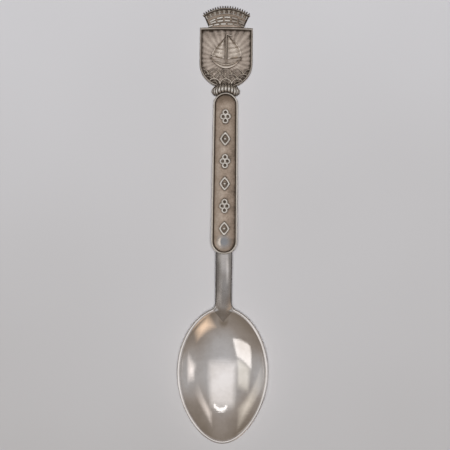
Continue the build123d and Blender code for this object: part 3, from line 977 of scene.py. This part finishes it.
bm = newMesh()
wearAndLightLayer = bm.verts.layers.float["wearAndPaintedLight"]
for level, radius, pitch, shift in crown["courses"]:
    for k in range(-3, 4):
        turn = (k * pitch + shift) / radius
        length = crown["stone"][0] * pitch / 2.08
        x, v = radius * sin(turn), level - radius + radius * cos(turn)
        limit = fanHalf(v) - 0.3
        if abs(x) - length / 2 > limit - 0.4:
            continue
        stone = softBlock(bm, (length, crown["stone"][1], 0.8), 0.13, 3)
        sink = randomness.uniform(0, 0.05)
        for vert in stone:
            across, up, height = vert.co
            px = x + across * cos(turn) + up * sin(turn)
            pv = v - across * sin(turn) + up * cos(turn)
            px = min(max(px, -limit), limit)
            vert.co = onCrown(px, pv, height - 0.4 + crown["stoneRise"] - sink)
            # worn bright on top; painted shade makes them less bright to the right
            vert[wearAndLightLayer] = mixed(1.0, 0.3, shareOf(x, -1, 3)) if height > 0.3 else 0.0
finishPiece("crownStones", bm, wornSilver, "crown_stones", 40)
print("crown ready")


floor = {
    "half": 0.6, "fadeHalf": 0.075,
    "near": (0.575, 0.557, 0.556, 1), "far": (0.775, 0.767, 0.795, 1),
}


def studioFloor():
    # a plain matt table, softly blotched; its change from darker near the bowl to lighter towards the crown
    # is painted shade
    material = bpy.data.materials.new("paleTable")
    material.use_nodes = True
    tree = material.node_tree
    shader = tree.nodes["Principled BSDF"]
    spot = addNode(tree, "ShaderNodeTexCoord").outputs["Object"]
    along = addNode(tree, "ShaderNodeSeparateXYZ", {0: spot}).outputs["Y"]
    soft = noiseOf(tree, spot, 9.0, 2.0)
    share = maths(tree, "ADD", levels(tree, along, -floor["fadeHalf"], floor["fadeHalf"]),
                  levels(tree, soft, 0.3, 0.7, -0.12, 0.12), clamp=True)
    colour = colourMix(tree, share, floor["near"], floor["far"])
    tree.links.new(colour, shader.inputs["Base Color"])
    shader.inputs["Roughness"].default_value = 0.9
    shader.inputs["Specular IOR Level"].default_value = 0.1
    bm = bmesh.new()
    bmesh.ops.create_grid(bm, x_segments=4, y_segments=4, size=floor["half"])
    mesh = bpy.data.meshes.new("table")
    bm.to_mesh(mesh)
    bm.free()
    mesh.materials.append(material)
    table = bpy.data.objects.new("table", mesh)
    bpy.context.scene.collection.objects.link(table)


def roomFill(height, size, strength):
    # one soft lamp straight overhead; the metal mirrors the cards below instead of it
    lamp = bpy.data.lights.new("roomFill", "AREA")
    lamp.shape = "RECTANGLE"
    lamp.size = lamp.size_y = size
    lamp.energy = strength * size**2 * pi
    lamp.color = (1, 0.995, 0.99)
    light = bpy.data.objects.new("roomFill", lamp)
    light.location = (0, 0, height)
    light.visible_glossy = False
    bpy.context.scene.collection.objects.link(light)


def glowCard(name, corners, strength, colour, soft=0.0, bow=0.0):
    # a clear sheet that adds its glow to the room that the metal mirrors; soft fades it
    # towards its edges and bow curves it
    material = bpy.data.materials.new(name)
    material.use_nodes = True
    tree = material.node_tree
    tree.nodes.remove(tree.nodes["Principled BSDF"])
    glow = addNode(tree, "ShaderNodeEmission", {"Color": (*colour, 1), "Strength": strength})
    if soft:
        fade = addNode(tree, "ShaderNodeAttribute", attribute_name="fade").outputs["Fac"]
        tree.links.new(levels(tree, fade, 0.0, soft, 0.0, strength), glow.inputs["Strength"])
    clear = addNode(tree, "ShaderNodeBsdfTransparent")
    both = addNode(tree, "ShaderNodeAddShader", {0: glow.outputs[0], 1: clear.outputs[0]})
    tree.links.new(both.outputs[0], tree.nodes["Material Output"].inputs["Surface"])
    bm = bmesh.new()
    fadeLayer = bm.verts.layers.float.new("fade")
    grid = bmesh.ops.create_grid(bm, x_segments=16, y_segments=16, size=1)["verts"]
    a, b, c, d = (Vector(corner) for corner in corners)
    for vert in grid:
        s, t = (vert.co.x + 1) / 2, (vert.co.y + 1) / 2
        vert[fadeLayer] = min(s, 1 - s, t, 1 - t) * 2
        vert.co = a.lerp(b, s).lerp(d.lerp(c, s), t)
        vert.co.y -= bow * (2 * s - 1) ** 2
    mesh = bpy.data.meshes.new(name)
    bm.to_mesh(mesh)
    bm.free()
    mesh.materials.append(material)
    card = bpy.data.objects.new(name, mesh)
    bpy.context.scene.collection.objects.link(card)
    card.visible_diffuse = False
    card.visible_shadow = False
    card.visible_camera = False


# corners in metres, strength, colour, how far in the edges fade, and the bow
cards = {
    "softbox": ([(-0.50, -0.29, 0.8), (0.51, -0.29, 0.8), (0.47, 0.45, 0.8), (-0.46, 0.45, 0.8)],
                0.40, (1.0, 0.965, 0.95), 0.42),
    "softboxLip": ([(-0.14, 0.408, 0.8), (0.27, 0.398, 0.8), (0.27, 0.434, 0.8), (-0.14, 0.444, 0.8)],
                   1.5, (1.0, 1.0, 1.0), 0.0, 0.05),
    "window": ([(-0.6, -1.14, 1.39), (-0.6, -0.36, 0.30), (-0.6, -0.10, 0.37), (-0.6, -0.46, 1.13)],
               0.70, (1.0, 0.975, 0.96), 0.05),
    "windowFade": ([(-0.6, -0.46, 1.13), (-0.6, -0.12, 0.36), (-0.6, 0.13, 0.40), (-0.6, 0.23, 1.05)],
                   0.42, (1.0, 0.98, 0.90), 0.4),
    "leftBand": ([(0.6, 0.02, 0.46), (0.6, 0.12, 0.34), (0.6, 1.05, 1.10), (0.6, 0.88, 1.40)],
                 0.58, (1.0, 0.93, 0.89), 1.0),
    "leftPatch": ([(0.6, -0.26, 0.12), (0.6, 0.03, 0.17), (0.6, 0.02, 0.38), (0.6, -0.16, 0.46)],
                  0.85, (1.0, 0.93, 0.90), 1.0),
    "rightBand": ([(-0.6, -0.16, 0.06), (-0.6, -0.02, 0.0), (-0.6, 0.72, 0.62), (-0.6, 0.52, 0.90)],
                  0.46, (1.0, 0.95, 0.84), 1.0),
    "peachGlow": ([(0.70, -0.52, 0.13), (0.38, -0.78, 0.22), (0.14, -0.66, 0.56), (0.64, -0.40, 0.34)],
                  0.70, (1.0, 0.72, 0.50), 0.8),
}
studioFloor()
roomFill(height=1.5, size=0.2, strength=142.0)
for name, card in cards.items():
    glowCard(name, *card)

room = {
    "sides": 0.75, "beyondCrown": 0.3,
    "stops": [(0.0, (0.15, 0.13, 0.11, 1)), (0.35, (0.21, 0.178, 0.148, 1)), (0.6, (0.30, 0.268, 0.242, 1)),
              (0.8, (0.39, 0.38, 0.378, 1)), (1.0, (0.46, 0.46, 0.475, 1))],
}


def studioRoom():
    # the dim room in the reflections: brighter overhead and to the sides, darker beyond the crown
    world = bpy.data.worlds.new("room")
    world.use_nodes = True
    tree = world.node_tree
    way = addNode(tree, "ShaderNodeSeparateXYZ",
                  {0: addNode(tree, "ShaderNodeTexCoord").outputs["Generated"]}).outputs
    sideways = maths(tree, "POWER", maths(tree, "ABSOLUTE", way["X"]), 6.0)
    beyond = maths(tree, "MULTIPLY", maths(tree, "MAXIMUM", way["Y"], 0.0), room["beyondCrown"])
    change = maths(tree, "SUBTRACT", maths(tree, "MULTIPLY", sideways, room["sides"]), beyond)
    sky = addNode(tree, "ShaderNodeValToRGB", {"Fac": maths(tree, "ADD", way["Z"], change)})
    stops = sky.color_ramp.elements
    for place, colour in room["stops"][1:-1]:
        stops.new(place).color = colour
    for stop, (place, colour) in ((stops[0], room["stops"][0]), (stops[-1], room["stops"][-1])):
        stop.position, stop.color = place, colour
    tree.links.new(sky.outputs["Color"], tree.nodes["Background"].inputs["Color"])
    world.cycles_visibility.diffuse = False
    bpy.context.scene.world = world


studioRoom()
bpy.context.scene.view_settings.view_transform = "Standard"

overhead = {"lens": 200, "sensor": 36, "place": (0.0002, -0.0002, 0.689), "turn": 0.63}
cameraData = bpy.data.cameras.new("overheadCamera")
cameraData.lens = overhead["lens"]
cameraData.sensor_width = overhead["sensor"]
camera = bpy.data.objects.new("overheadCamera", cameraData)
camera.location = overhead["place"]
camera.rotation_euler = (0, 0, radians(overhead["turn"]))
bpy.context.scene.collection.objects.link(camera)
bpy.context.scene.camera = camera
print("table, light and camera ready")
